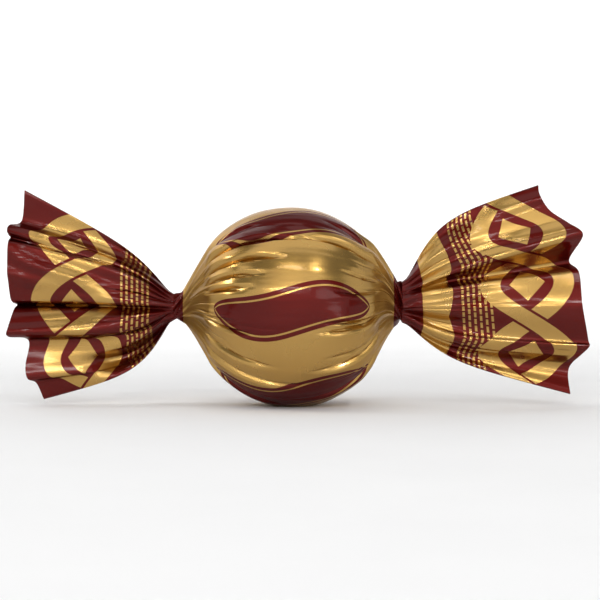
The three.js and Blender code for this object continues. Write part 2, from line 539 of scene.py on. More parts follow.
# A fold grows over this distance from the neck, and keeps its height for this share of its reach
MAIN_FOLD_RISE = 2.5 * MM
MAIN_FOLD_FULL = 0.55


def steep_fold(offset):
    """The height across a main fold: a slow side, a crest, a steep side and a groove at its foot."""
    foot = ramps(offset - STEEP_SIDE, FOOT_GROOVE, FOOT_GROOVE) * FOOT_DEPTH
    return ramps(offset, SLOW_SIDE, STEEP_SIDE) - foot


def main_folds(down, half_round, from_neck, folds):
    """The main folds of one end, as a height on the smooth film."""
    total = 0
    for place, reach, height, looks_down in folds:
        across = steep_fold((down - place) * half_round * looks_down)
        grown = smooth_step(from_neck, 0, MAIN_FOLD_RISE)
        ended = smooth_step(from_neck, reach, reach * MAIN_FOLD_FULL)
        total = total + across * grown * ended * height
    return total


print("main folds on the ball:", len(LEFT_MAIN_FOLDS), "and", len(RIGHT_MAIN_FOLDS))

# %% [markdown]
# ## The ball
#
# Between the folds the film is stretched over chocolate, and tension draws it into low waves, much longer
# along the wrapper than across it. Noise that is squeezed in one direction gives such waves. At the back
# the two edges of the sheet overlap, which shows as one low step that fades before the necks.

# %% Waves and the overlap on the ball
# Height of the waves, then their size across the wrapper and along it
TENSION_WAVE = 0.24 * MM
WAVE_ACROSS = 3.4 * MM
WAVE_ALONG = 22 * MM
WAVE_DETAIL = 2
# Height of the overlap, its place and width as shares of the way round, and the latitudes it fades between
OVERLAP_STEP = 0.22 * MM
OVERLAP_PLACE = 0.72
OVERLAP_WIDTH = 0.07
OVERLAP_FADES = (math.radians(34), math.radians(56))


def tension_waves(angle, latitude, gathered):
    """Low waves, as a height on the smooth film. They end where the film is gathered."""
    place = vector(
        cosine(angle) * (BALL_RADIUS / WAVE_ACROSS),
        sine(angle) * (BALL_RADIUS / WAVE_ACROSS),
        latitude * (BALL_RADIUS / WAVE_ALONG),
    )
    return noise(place, WAVE_DETAIL) * (1 - gathered) * TENSION_WAVE


def overlap(around, latitude):
    """The step where the sheet's edges overlap, as a height on the smooth film."""
    past_edge = (around - OVERLAP_PLACE) / OVERLAP_WIDTH
    step = maths("GREATER_THAN", past_edge, 0) * larger(1 - past_edge, 0) * OVERLAP_STEP
    return step * (1 - smooth_step(abs(latitude), *OVERLAP_FADES))


# %% [markdown]
# The ball is a globe lying on its side, with its poles at the necks. Its rings are circles of latitude,
# up to where the film leaves the ball. All folds, waves and steps are heights that are added to the
# ring's radius. The necks use the same chance draws as the ball, so the tucks go on without a break.

# %% Node group for the film on the ball
ball_tree, size = film_group("Ball film", {
    "Left Shoulder Rise": LEFT_END["Shoulder Rise"],
    "Left Shoulder Start": LEFT_END["Shoulder Start"],
    "Right Shoulder Rise": RIGHT_END["Shoulder Rise"],
    "Right Shoulder Start": RIGHT_END["Shoulder Start"],
    "Left Seed": LEFT_END["Seed"],
    "Right Seed": RIGHT_END["Seed"],
})
mesh, along, around = film_grid(ball_tree, BALL_RINGS)
angle = around * FULL_TURN
latitude = (along * 2 - 1) * FILM_LEAVES_BALL
on_right = maths("GREATER_THAN", along, 0.5)
from_left = (latitude + FILM_LEAVES_BALL) * BALL_RADIUS
from_right = (FILM_LEAVES_BALL - latitude) * BALL_RADIUS

x = sine(latitude) * BALL_RADIUS
left_rise, right_rise = [
    size[f"{end} Shoulder Rise"] * smooth_step(abs(x), size[f"{end} Shoulder Start"], SHOULDER_REACH)
    for end in ("Left", "Right")
]
gathered = smooth_step(abs(latitude), GATHERS_FADE_OUT, FILM_LEAVES_BALL)
round_length = cosine(latitude) * SHEET_WIDTH
down = 1 - abs(around * 2 - 1)
folds = gathered * gather_waves(angle)
for from_neck, seed_name, listed in (
    (from_left, "Left Seed", LEFT_MAIN_FOLDS),
    (from_right, "Right Seed", RIGHT_MAIN_FOLDS),
):
    folds = folds + creases(around, round_length, from_neck, CREASE_LAYERS, size[seed_name])
    folds = folds + main_folds(down, round_length / 2, from_neck, listed)
radius = cosine(latitude) * BALL_RADIUS + folds + tension_waves(angle, latitude, gathered)
radius = radius + overlap(around, latitude)

sheet_place = vector(latitude * (BALL_RADIUS / MM), around * (SHEET_WIDTH / MM), 0)
position = round_axis(x, radius, angle, between(left_rise, right_rise, on_right))
film = bend(ball_tree, mesh, sheet_place, position)
hand_over(ball_tree, add_node(ball_tree, "GeometryNodeFlipFaces", {"Mesh": film})["Mesh"])
print("ball group has", len(ball_tree.nodes), "nodes")

# %% [markdown]
# ## The necks
#
# Twisting presses the folds together into a narrow rope. Its section is no circle: a few lobes of film
# stand out, with small creases between them. Waves round the ring give the lobes, and the same tucks as
# on the ball give the creases, here all the way along.

# %% The pressed folds of a rope
# How many lobes there are, and how far they stand out as a share of the rope's radius
NECK_LOBES = 5
LOBE_DEPTH = 0.14
# As on the ball
ROPE_LAYERS = [(9, 0.28 * MM, 1.0, 0.6 * MM)]


def rope(around, radius, seed):
    """How far the pressed folds of the rope stand out from its round middle."""
    lobes = radius * cosine(around * (FULL_TURN * NECK_LOBES)) * LOBE_DEPTH
    at_neck = around * 0
    return lobes + creases(around, radius * FULL_TURN, at_neck, ROPE_LAYERS, seed)


# %% [markdown]
# The film leaves the ball along its tangent and bends into the rope, which runs along the axis. So a
# neck's profile is a cubic curve whose two inner points lie together, at the corner where the tangent
# meets the rope. The folds wind round the axis on the way, more and more towards the rope.

# %% Node group for a neck
# How far the tangent runs along the axis for each step towards it
CORNER_SLOPE = 1 / math.tan(FILM_LEAVES_BALL)

neck_tree, size = film_group("Neck film", LEFT_END)
mesh, along, around = film_grid(neck_tree, NECK_RINGS)
start_reach = BALL_RADIUS * math.sin(FILM_LEAVES_BALL)
start_radius = BALL_RADIUS * math.cos(FILM_LEAVES_BALL)
corner_reach = (start_radius - size["Neck Radius"]) * CORNER_SLOPE + start_reach
before = (1 - along) ** 3
corner = along * (1 - along) * 3
after = along ** 3
reach = before * start_reach + corner * corner_reach + after * size["Neck Reach"]
smooth_radius = before * start_radius + corner * size["Neck Radius"] + after * size["Neck Radius"]

turned = around - along * along * (NECK_TWIST / FULL_TURN)
# A field that is 0 everywhere, because no tuck has begun to fade yet
at_neck = along * 0
round_length = start_radius * FULL_TURN + at_neck
narrowed = smooth_radius / start_radius
neck_creases = creases(turned, round_length, at_neck, CREASE_LAYERS, size["Seed"]) * narrowed
gathers = gather_waves(turned * FULL_TURN) + neck_creases
radius = smooth_radius + between(gathers, rope(turned, size["Neck Radius"], size["Seed"]), along)
sheet_place = vector(
    size["Side"] * (along * NECK_FILM + BALL_FILM) / MM,
    around * (SHEET_WIDTH / MM),
    0,
)
position = round_axis(size["Side"] * reach, radius, around * FULL_TURN, middle_rise(reach, size))
film = bend(neck_tree, mesh, sheet_place, position)
hand_over(neck_tree, face_outwards(neck_tree, film, size))
print("neck group has", len(neck_tree.nodes), "nodes")

# %% [markdown]
# ## The tails
#
# Beyond the neck the round rope opens into a flat fan of two layers, front and back. Some folds run far
# along it, and the light draws a streak along each of them. Their places are stated one by one, as on the
# ball. Their crests are rounded, because a streak then follows the whole fold without a break.

# %% Main folds on the tails
# Share down the tail beside the neck and at the cut edge, from where to where along the tail, how far
# it stands forward, and how wide its upper side and its lower side are
LEFT_TAIL_FOLDS = [
    (0.28, 0.28, 0.10, 1.4, 0.50 * MM, 1.3 * MM, 2.0 * MM),
    (0.46, 0.305, 0.35, 1.4, 0.60 * MM, 1.5 * MM, 1.6 * MM),
    (0.43, 0.335, 0.10, 1.1, 0.50 * MM, 1.2 * MM, 1.6 * MM),
    (0.48, 0.385, 0.15, 1.4, 0.55 * MM, 1.2 * MM, 1.6 * MM),
    (0.50, 0.44, 0.05, 0.9, 0.50 * MM, 1.0 * MM, 1.4 * MM),
    (0.15, 0.12, 0.25, 1.0, 0.50 * MM, 1.6 * MM, 2.4 * MM),
    (0.65, 0.65, 0.10, 1.4, 0.60 * MM, 1.2 * MM, 0.9 * MM),
    (0.862, 0.852, -0.15, 0.65, -3.6 * MM, 0.9 * MM, 3.5 * MM),
]
RIGHT_TAIL_FOLDS = [
    (0.06, 0.05, 0.50, 1.3, 0.55 * MM, 1.4 * MM, 1.4 * MM),
    (0.20, 0.20, 0.45, 1.4, 0.45 * MM, 1.4 * MM, 2.4 * MM),
    (0.265, 0.265, 0.30, 1.2, 0.55 * MM, 1.4 * MM, 2.0 * MM),
    (0.40, 0.40, 0.05, 0.6, -0.9 * MM, 1.6 * MM, 2.0 * MM),
    (0.47, 0.44, -0.3, 0.35, -1.0 * MM, 0.7 * MM, 0.9 * MM),
    (0.60, 0.62, 0.10, 0.6, 0.60 * MM, 1.6 * MM, 2.0 * MM),
    (0.82, 0.83, 0.30, 1.3, 0.55 * MM, 1.3 * MM, 1.8 * MM),
]
# Over which share of the tail a fold grows and ends, and over which share the root holds all folds back
TAIL_FOLD_ENDS = 0.3
ROOT_HOLD = 0.1


def tail_folds(down, height, along, folds):
    """The main folds of a tail, as how far they stand forward. The root stays as the neck left it."""
    total = 0
    for inner, outer, start, stop, forward, above, below in folds:
        offset = (down - between(inner, outer, along)) * height
        across = smooth_step(ramps(offset, above, below), 0, 1)
        started = smooth_step(along, start, start + TAIL_FOLD_ENDS)
        ended = smooth_step(along, stop, stop - TAIL_FOLD_ENDS)
        total = total + across * started * ended * forward
    return total * smooth_step(along, 0, ROOT_HOLD)


print("main folds on the tails:", len(LEFT_TAIL_FOLDS), "and", len(RIGHT_TAIL_FOLDS))

# %% [markdown]
# Every line of film runs from a point of the rope to a point of the cut edge, so a tail is a surface ruled
# between a ring and a curve. Part of the spread comes early, which gives the fan its rounded shoulders.
# The end of each ray, its bulge and its fade are sampled from the helper curve, made smooth on the way.

# %% Rays from the neck to the cut edge
# How fast the film spreads, over which share of the tail it gets going, and how much it spreads in all
SPREAD_RATE = 8
NECK_RUN = 0.12
WHOLE_BULGE = 1 - math.exp(-SPREAD_RATE / (1 + NECK_RUN))
# Steps of the smooth curve from one stated point to the next
CURVE_STEPS = 12


def early_spread(along):
    """From 0 at the rope to 1 at the cut edge, with most of the way made beside the rope."""
    return (1 - maths("EXPONENT", along * along * -SPREAD_RATE / (along + NECK_RUN))) / WHOLE_BULGE


def sample_edge(tree, curve, down):
    """The place on a cut edge, and the bulge and the fade of the ray that ends there."""
    edge_info = add_node(tree, "GeometryNodeObjectInfo", {"Object": curve})
    smooth = {"Curve": edge_info["Geometry"]}
    smooth_edge = add_node(tree, "GeometryNodeCurveSplineType", smooth, spline_type="CATMULL_ROM")
    fine = {"Geometry": smooth_edge["Curve"], "Resolution": CURVE_STEPS}
    fine_edge = add_node(tree, "GeometryNodeSetSplineResolution", fine)["Geometry"]
    bulge, fade = [
        Field(tree, add_node(
            tree,
            "GeometryNodeSampleCurve",
            {"Curves": fine_edge, "Factor": down, "Value": add_node(tree, kind, {})[name]},
            mode="FACTOR",
        )["Value"])
        for kind, name in (("GeometryNodeInputCurveTilt", "Tilt"), ("GeometryNodeInputRadius", "Radius"))
    ]
    place = add_node(tree, "GeometryNodeSampleCurve", {"Curves": fine_edge, "Factor": down}, mode="FACTOR")
    return *split(tree, place["Position"]), bulge, fade


# %% [markdown]
# Small pleats stand close beside the neck, where the film is still pressed together. Tucks run out of them
# and end at chance distances, and between them the loose film lies in long, low waves. Both layers get
# the same relief, so they never cut through each other.

# %% Pleats, creases and waves on a tail
# Height of the fan at its cut edge
TAIL_HEIGHT = 40 * MM
# How many pleats there are, how deep, and at which share of the tail they are deepest
PLEATS = 6
PLEAT_DEPTH = 0.7 * MM
PLEATS_DEEPEST = 0.2
# As on the ball, but with lengths as shares of the tail, and the share over which they grow
TAIL_CREASES = [(9, 0.45 * MM, 0.8, 2.0 * MM), (19, 0.25 * MM, 0.6, 1.2 * MM)]
CREASES_GROWN = 0.25
# A step between the draws of a tail and those of its neck
CREASE_DRAW = 29.0
# Height of the waves, then their size across the tail and along it
TAIL_WAVE = 0.5 * MM
TAIL_WAVE_ACROSS = 4 * MM
TAIL_WAVE_ALONG = 30 * MM
TAIL_WAVE_DETAIL = 1


def tail_pleats(down, along):
    """How far the pleats stand back."""
    nearness = along / PLEATS_DEEPEST
    pleats = sine(down * (FULL_TURN * PLEATS)) * PLEAT_DEPTH
    return pleats * (1 - along) * nearness * maths("EXPONENT", 1 - nearness)


def tail_relief(down, along, size, folds):
    """How far the creases, the waves and the main folds stand forward."""
    height = between(size["Neck Radius"] * 2, TAIL_HEIGHT, along)
    sharp = creases(down, height, along, TAIL_CREASES, size["Seed"] + CREASE_DRAW) * size["Crumple"]
    wave_place = vector(
        down * (TAIL_HEIGHT / TAIL_WAVE_ACROSS),
        along * (TAIL_FILM / TAIL_WAVE_ALONG),
        size["Seed"],
    )
    waves = noise(wave_place, TAIL_WAVE_DETAIL) * TAIL_WAVE
    grown = smooth_step(along, 0, CREASES_GROWN)
    return (sharp + waves) * grown + tail_folds(down, height, along, folds)


# %% [markdown]
# At the cut edge the sheet turns inwards and runs back between the two layers, as its own bare inner side,
# until they meet. So the grid of a tail goes out to the edge first, and its last rows come back as the
# lining, with less and less room between them. Those faces are marked, so that they can stay unprinted.

# %% Node group for a tail
# How soon the round rope goes flat
ROOT_FLATTENING = 1.6
# The gap between the layers, how far and how often it swells, and how bluntly it ends at the two corners
LAYER_GAP = 1.5 * MM
LAYER_GAP_SWELL = 0.5 * MM
LAYER_GAP_WAVES = 3
LAYER_CORNER = 0.3
# How far from the root the layers meet, as a share of the tail, and how the lining closes on the way
LAYERS_MEET = 0.6
LINING_CLOSES = 0.5


def half_gap(down):
    """Half the room between the layers at the cut edge, which ends at both corners."""
    swell = cosine(down * (FULL_TURN * LAYER_GAP_WAVES)) * LAYER_GAP_SWELL
    return (swell + LAYER_GAP) * larger(sine(down * math.pi), 0) ** LAYER_CORNER / 2


def tail_group(name, end, folds):
    """A node group for one tail, with main folds of its own."""
    tree, size = film_group(name, end, objects=["Cut Edge"])
    mesh, way, around = film_grid(tree, TAIL_RINGS + LINING_RINGS)
    turns_in = TAIL_RINGS / (TAIL_RINGS + LINING_RINGS)
    inside = larger((way - turns_in) / (1 - turns_in), 0)
    along = smaller(way / turns_in, 1) - inside * (1 - LAYERS_MEET)
    angle = around * FULL_TURN
    down = 1 - abs(around * 2 - 1)
    front = maths("SIGN", 0.5 - around)
    edge_x, edge_y, edge_z, bulge, fade = sample_edge(tree, size["Cut Edge"], down)

    turned = around - NECK_TWIST / FULL_TURN
    root_radius = size["Neck Radius"] + rope(turned, size["Neck Radius"], size["Seed"]) * (1 - inside)
    root_x = size["Side"] * size["Neck Reach"]
    root_z = size["Neck Rise"] + root_radius * cosine(angle)
    thickness = root_radius * sine(angle) * (1 - along) ** ROOT_FLATTENING + front * half_gap(down) * along

    x = between(root_x, edge_x, along)
    y = edge_y * along ** fade + tail_pleats(down, along) - tail_relief(down, along, size, folds)
    y = y - thickness * (1 - inside ** LINING_CLOSES)
    spread = between(along, early_spread(along), bulge)
    z = larger(between(root_z, edge_z, spread) + BALL_CENTRE.z, 0)
    sheet_place = vector(
        size["Side"] * (along * TAIL_FILM + (BALL_FILM + NECK_FILM)) / MM,
        around * (SHEET_WIDTH / MM),
        0,
    )
    film = face_outwards(tree, bend(tree, mesh, sheet_place, vector(x, y, z)), size)
    lined = add_node(
        tree,
        "GeometryNodeStoreNamedAttribute",
        {"Geometry": film, "Name": "lining", "Value": maths("GREATER_THAN", way, turns_in)},
        data_type="BOOLEAN",
        domain="FACE",
    )
    hand_over(tree, lined["Geometry"])
    print(name, "has", len(tree.nodes), "nodes")
    return tree


left_tail = tail_group("Left tail film", LEFT_END, LEFT_TAIL_FOLDS)
right_tail = tail_group("Right tail film", RIGHT_END, RIGHT_TAIL_FOLDS)

# %% [markdown]
# ## Inks
#
# The film is metallised, and both inks are clear lacquers over the metal, so both shine like foil. One
# Principled shader serves for both: a mask says where the maroon ink is, and the colour and the roughness
# change with it. The print is laid out on the stored UV map, in millimetres of flat film, so it is
# gathered and twisted with the folds. Drawing it as sums of distances keeps its edges sharp at any size,
# which an image would not. The ball carries wavy gores that run along it and end short of the necks.

# %% The print on the ball
# Sizes of the print are in millimetres of flat film
INK_EDGE = 0.05
GORES = 6
GORE_HALF_WIDTH = 4.5
GORE_HALF_LENGTH = 15.5
GORE_SWING = 1.7
GORE_WAVE = 34.0
# The higher the first and the lower the second, the blunter the gore
GORE_TAPER = 3
GORE_BLUNTNESS = 0.5
PINSTRIPE_INSET = 1.0
PINSTRIPE_HALF_WIDTH = 0.17
SHEET_MM = SHEET_WIDTH / MM
TAIL_START_MM = (BALL_FILM + NECK_FILM) / MM


def inked(depth):
    """1 where the depth inside a printed shape is over 0, and 0 outside it, with a fine soft edge."""
    return smooth_step(depth, -INK_EDGE, INK_EDGE)


def gore_print(along, around):
    """Maroon gores along the ball, each with a fine gold stripe inside its edge."""
    pitch = SHEET_MM / GORES
    swing = sine(along * (FULL_TURN / GORE_WAVE)) * GORE_SWING
    off_centre = abs(maths("FRACT", (around + swing) / pitch) - 0.5) * pitch
    to_tip = abs(along) / GORE_HALF_LENGTH
    half_width = larger(1 - to_tip ** GORE_TAPER, 0) ** GORE_BLUNTNESS * GORE_HALF_WIDTH
    depth = half_width - off_centre
    pinstripe = inked(PINSTRIPE_HALF_WIDTH - abs(depth - PINSTRIPE_INSET))
    return inked(depth) * (1 - pinstripe)


print("gores lie", round(SHEET_MM / GORES, 1), "mm apart")

# %% [markdown]
# The tails carry a guilloche, the old border of two strands that wind round each other, with a diamond
# in every eye. Whichever strand lies below is cut back a little beside the other, so the border looks
# woven.

# %% Strands and diamonds
STRAND_WAVES = 3
STRAND_SWING = 6.2
STRAND_HALF_WIDTH = 1.7
STRAND_GAP = 0.6
DIAMOND_HALF_LENGTH = 3.0
DIAMOND_HALF_WIDTH = 4.6


def strand_print(along, around, centre):
    """Two winding strands with a diamond in each eye."""
    pitch = SHEET_MM / STRAND_WAVES
    phase = around * (FULL_TURN / pitch)
    swing = sine(phase) * STRAND_SWING
    slope = cosine(phase) * (STRAND_SWING * FULL_TURN / pitch)
    steepness = (slope * slope + 1) ** 0.5
    first = abs(along - centre - swing) / steepness
    second = abs(along - centre + swing) / steepness
    first_on_top = maths("GREATER_THAN", cosine(phase), 0)
    clear_of_first = inked(first - (STRAND_HALF_WIDTH + STRAND_GAP))
    clear_of_second = inked(second - (STRAND_HALF_WIDTH + STRAND_GAP))
    first_shown = inked(STRAND_HALF_WIDTH - first) * larger(first_on_top, clear_of_second)
    second_shown = inked(STRAND_HALF_WIDTH - second) * larger(1 - first_on_top, clear_of_first)
    eye_pitch = pitch / 2
    eye_across = (maths("FRACT", around / eye_pitch) - 0.5) * eye_pitch
    diamond = 1 - abs(along - centre) / DIAMOND_HALF_LENGTH - abs(eye_across) / DIAMOND_HALF_WIDTH
    return larger(larger(first_shown, second_shown), inked(diamond * DIAMOND_HALF_LENGTH))


print("strands cross every", round(SHEET_MM / STRAND_WAVES / 2, 1), "mm")

# %% [markdown]
# Nearer the neck there are rows of small dashes, and on the right tail a gold band with a scalloped edge.
# The fraction of a place along a row says where a point lies in its own dash, so one rule prints them all.

# %% Dashes and a band
DASH_PITCH_ALONG = 0.95
DASH_HALF_WIDTH = 0.2
DASH_PITCH_AROUND = 2.0
DASH_HALF_LENGTH = 0.75
DASH_ROWS = 6
BAND_START = 3.4
BAND_WIDTH = 4.2
SCALLOP_DEPTH = 0.9


def dash_print(along, around, start):
    """Rows of dashes round the tail, each row set off by half a dash from the last."""
    row = (along - start) / DASH_PITCH_ALONG
    across_row = abs(maths("FRACT", row) - 0.5) * DASH_PITCH_ALONG
    place = around / DASH_PITCH_AROUND + maths("FLOOR", row) * 0.5
    along_dash = abs(maths("FRACT", place) - 0.5) * DASH_PITCH_AROUND
    in_rows = inked(row) * inked(DASH_ROWS - row)
    return inked(DASH_HALF_WIDTH - across_row) * inked(DASH_HALF_LENGTH - along_dash) * in_rows


def band_print(along, around):
    """A gold band with a scalloped outer edge."""
    scallop = abs(sine(around * (math.pi * STRAND_WAVES * 2 / SHEET_MM))) * SCALLOP_DEPTH
    return inked(along - BAND_START) * inked(scallop + (BAND_START + BAND_WIDTH) - along)


print("dashes fill", round(DASH_ROWS * DASH_PITCH_ALONG, 1), "mm of a tail")

# %% [markdown]
# One mask gathers all of it. On the ball the ground is gold and the gores are maroon. On the tails the
# ground is maroon and the print gold. The change comes inside the necks, as a collar round the twist.

# %% Where the film is maroon
# Where each thing lies on the left tail and on the right one, from the tail's root
STRAND_CENTRES = (18.5, 21.0)
DASH_STARTS = (4.2, 9.6)
# Where the tails' own print starts on the left and on the right, from the middle of the ball
COLLAR_STARTS = (24.0, 22.5)


def maroon_mask(along, around):
    """Where the film is maroon: 1 on the ink and 0 on the gold."""
    on_right = maths("GREATER_THAN", along, 0)
    in_tail = abs(along) - TAIL_START_MM
    strands = strand_print(in_tail, around, between(*STRAND_CENTRES, on_right))
    dashes = dash_print(in_tail, around, between(*DASH_STARTS, on_right))
    tail_gold = larger(larger(strands, dashes), band_print(in_tail, around) * on_right)
    past_collar = inked(abs(along) - between(*COLLAR_STARTS, on_right))
    return between(gore_print(along, around), 1 - tail_gold, past_collar)


print("print of the tails starts", COLLAR_STARTS, "mm from the middle of the ball")

# %% [markdown]
# ## Film
#
# Film is never quite even. A very fine crinkle is added as bump, far below the size of the folds, which
# are real geometry. The lacquer is a little thicker here and thinner there, so colour and roughness
# drift. Both come from noise on Object coordinates, and every film material starts from them.

# %% A surface for film
CRINKLE_SIZE = 1.1 * MM
CRINKLE_DEPTH = 0.007 * MM
CRINKLE_DETAIL = 4
DRIFT_SIZE = 9 * MM
DRIFT_DETAIL = 3


def mix_colours(tree, share, first, second):
    """A colour between two others, by a field."""
    mix = tree.nodes.new("ShaderNodeMix")
    mix.data_type = "RGBA"
    feed(tree, mix.inputs["Factor"], share)
    colours = [socket for socket in mix.inputs if socket.type == "RGBA"]
    for socket, colour in zip(colours, (first, second)):
        feed(tree, socket, colour)
    return next(socket for socket in mix.outputs if socket.type == "RGBA")


def new_material(name):
    """A material with its shader and the place on the object."""
    material = bpy.data.materials.new(name)
    material.use_nodes = True
    tree = material.node_tree
    place = Field(tree, add_node(tree, "ShaderNodeTexCoord", {})["Object"])
    return material, tree.nodes["Principled BSDF"], place


def film_surface(name):
    """A metal material with a crinkle. Returns it, its shader and the drift."""
    material, shader, place = new_material(name)
    tree = material.node_tree
    drift = noise(place, DRIFT_DETAIL, 1 / DRIFT_SIZE) + 0.5
    crinkle = noise(place, CRINKLE_DETAIL, 1 / CRINKLE_SIZE)
    bump = add_node(tree, "ShaderNodeBump", {"Height": crinkle, "Distance": CRINKLE_DEPTH, "Strength": 1.0})
    feed(tree, shader.inputs["Normal"], bump["Normal"])
    shader.inputs["Metallic"].default_value = 1.0
    return material, shader, drift


# %% [markdown]
# Gold and maroon differ in colour and in how sharply they mirror. Beside the twists the film is crushed,
# so it mirrors less sharply there than on the ball and the tails. A clear coat gives the sharp highlight
# on top of the satin one, and a tint for glancing light keeps the rims of the folds from going white.

# %% Printed film
GOLD = (0.53, 0.318, 0.088, 1)
GOLD_DEEP = (0.46, 0.270, 0.070, 1)
MAROON = (0.125, 0.0062, 0.0037, 1)
MAROON_DEEP = (0.102, 0.0048, 0.0028, 1)
EDGE_TINT = (0.5, 0.42, 0.36, 1)
GOLD_ROUGHNESS = 0.22
MAROON_ROUGHNESS = 0.38
ROUGHNESS_DRIFT = 0.1
COAT_WEIGHT = 0.4
COAT_ROUGHNESS = 0.11
# Added roughness, then where along the sheet it starts, is full and has ended, in millimetres
CRUSHED_ROUGHNESS = 0.14
CRUSHED_FROM = 13.0
CRUSHED_MOST = 18.0
CRUSHED_TO = TAIL_START_MM + 8.0

printed_film, shader, drift = film_surface("printed_film")
tree = printed_film.node_tree
along, around, _ = split(tree, add_node(tree, "ShaderNodeUVMap", {}, uv_map="UVMap")["UV"])
maroon = maroon_mask(along, around)
gold_ink = mix_colours(tree, drift, GOLD_DEEP, GOLD)
maroon_ink = mix_colours(tree, drift, MAROON_DEEP, MAROON)
feed(tree, shader.inputs["Base Color"], mix_colours(tree, maroon, gold_ink, maroon_ink))
crushed = smooth_step(abs(along), CRUSHED_FROM, CRUSHED_MOST)
crushed = crushed * smooth_step(abs(along), CRUSHED_TO, TAIL_START_MM) * CRUSHED_ROUGHNESS
roughness = drift * ROUGHNESS_DRIFT + between(GOLD_ROUGHNESS, MAROON_ROUGHNESS, maroon) + crushed
feed(tree, shader.inputs["Roughness"], roughness)
shader.inputs["Coat Weight"].default_value = COAT_WEIGHT
shader.inputs["Coat Roughness"].default_value = COAT_ROUGHNESS
shader.inputs["Specular Tint"].default_value = EDGE_TINT
print("printed film has", len(tree.nodes), "nodes")

# %% [markdown]
# The inner side of the film carries no ink. It shows only between the layers of a tail, as bare, slightly
# dull metal.

# %% Bare film
BARE_METAL = (0.72, 0.70, 0.67, 1)
BARE_METAL_DULL = (0.58, 0.56, 0.53, 1)
BARE_ROUGHNESS = 0.25
BARE_ROUGHNESS_DRIFT = 0.15

bare_film, shader, drift = film_surface("bare_film")
tree = bare_film.node_tree
feed(tree, shader.inputs["Base Color"], mix_colours(tree, drift, BARE_METAL_DULL, BARE_METAL))
feed(tree, shader.inputs["Roughness"], drift * BARE_ROUGHNESS_DRIFT + BARE_ROUGHNESS)
print("bare film has", len(tree.nodes), "nodes")

# %% [markdown]
# ## One sheet
#
# The groups are now used like parts on a bench: one ball, two necks and two tails, each with the sizes of
# its end. Their edge rings lie on each other, so welding points that coincide makes one closed sheet.

# %% Join and weld the film
WELD_DISTANCE = 0.004 * MM
CRISP_FOLD = math.radians(60)

wrapper_tree, parts = film_group(
    "Twist wrapper",
    {"Weld Distance": WELD_DISTANCE, "Crisp Fold": CRISP_FOLD},
    objects=["Left Cut Edge", "Right Cut Edge"],
    materials=["Printed Film", "Bare Film"],
)


def use_group(group, inputs):
    """Places a group in the wrapper's tree and returns its film."""
    return add_node(wrapper_tree, "GeometryNodeGroup", inputs, node_tree=group)["Film"]


films = [use_group(ball_tree, {})]
for end, tail, edge_name in (
    (LEFT_END, left_tail, "Left Cut Edge"),
    (RIGHT_END, right_tail, "Right Cut Edge"),
):
    films.append(use_group(neck_tree, end))
    films.append(use_group(tail, end | {"Cut Edge": parts[edge_name]}))
join = wrapper_tree.nodes.new("GeometryNodeJoinGeometry")
for film in films:
    wrapper_tree.links.new(film, join.inputs["Geometry"])
welded = add_node(
    wrapper_tree,
    "GeometryNodeMergeByDistance",
    {"Geometry": join.outputs["Geometry"], "Distance": parts["Weld Distance"]},
)
print("wrapper is joined from", len(films), "sheets")

# %% [markdown]
# Folds sharper than 60 degrees stay crisp, and the rest is shaded smooth. The tree ends in Realize
# Instances and Set Material, first for the print all over and then for the bare lining.

# %% Shade the film and give it its materials
edge_angle = add_node(wrapper_tree, "GeometryNodeInputMeshEdgeAngle", {})["Unsigned Angle"]
is_soft = maths("LESS_THAN", Field(wrapper_tree, edge_angle), parts["Crisp Fold"])
smooth = add_node(
    wrapper_tree,
    "GeometryNodeSetShadeSmooth",
    {"Geometry": welded["Geometry"], "Shade Smooth": is_soft},
    domain="EDGE",
)
realized = add_node(wrapper_tree, "GeometryNodeRealizeInstances", {"Geometry": smooth["Geometry"]})
printed = add_node(
    wrapper_tree,
    "GeometryNodeSetMaterial",
    {"Geometry": realized["Geometry"], "Material": parts["Printed Film"]},
)
lining = add_node(wrapper_tree, "GeometryNodeInputNamedAttribute", {"Name": "lining"}, data_type="BOOLEAN")
finished = add_node(
    wrapper_tree,
    "GeometryNodeSetMaterial",
    {"Geometry": printed["Geometry"], "Selection": lining["Attribute"], "Material": parts["Bare Film"]},
)
hand_over(wrapper_tree, finished["Geometry"])
print("wrapper group has", len(wrapper_tree.nodes), "nodes")

# %% [markdown]
# A modifier runs the tree. Its inputs are set by the sockets' identifiers, before it is first evaluated.
# The result is copied into a plain mesh, the modifier and the helper curves go, and the mesh is counted
# to see that the sheet is closed. Then the film takes the place of the CAD solid.

# %% The film as a plain mesh
wrapper = bpy.data.objects.new("wrapper_film", bpy.data.meshes.new("wrapper_film"))
bpy.context.scene.collection.objects.link(wrapper)
modifier = wrapper.modifiers.new("Twist wrapper", "NODES")
modifier.node_group = wrapper_tree
identifiers = {item.name: item.identifier for item in wrapper_tree.interface.items_tree}
modifier[identifiers["Left Cut Edge"]] = left_edge
modifier[identifiers["Right Cut Edge"]] = right_edge
modifier[identifiers["Printed Film"]] = printed_film
modifier[identifiers["Bare Film"]] = bare_film

depsgraph = bpy.context.evaluated_depsgraph_get()
film_mesh = bpy.data.meshes.new_from_object(wrapper.evaluated_get(depsgraph), depsgraph=depsgraph)
wrapper.modifiers.clear()
wrapper.data = film_mesh
for helper in (left_edge, right_edge):
    bpy.data.objects.remove(helper)

check = bmesh.new()
check.from_mesh(film_mesh)
open_edges = [edge for edge in check.edges if len(edge.link_faces) != 2]
print("film:", len(film_mesh.polygons), "faces,", len(open_edges), "open edges,",
      round(check.calc_volume(signed=True) / MM ** 3), "cubic mm inside")
check.free()

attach(wrapper, "root")
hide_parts("wrapped_truffle")

# %% [markdown]
# ## The stage
#
# The truffle stands on a pale floor that curves up into a backdrop, so no line crosses the picture. Floor
# and backdrop are one sheet, bent along a profile of two straight lines and a quarter round.

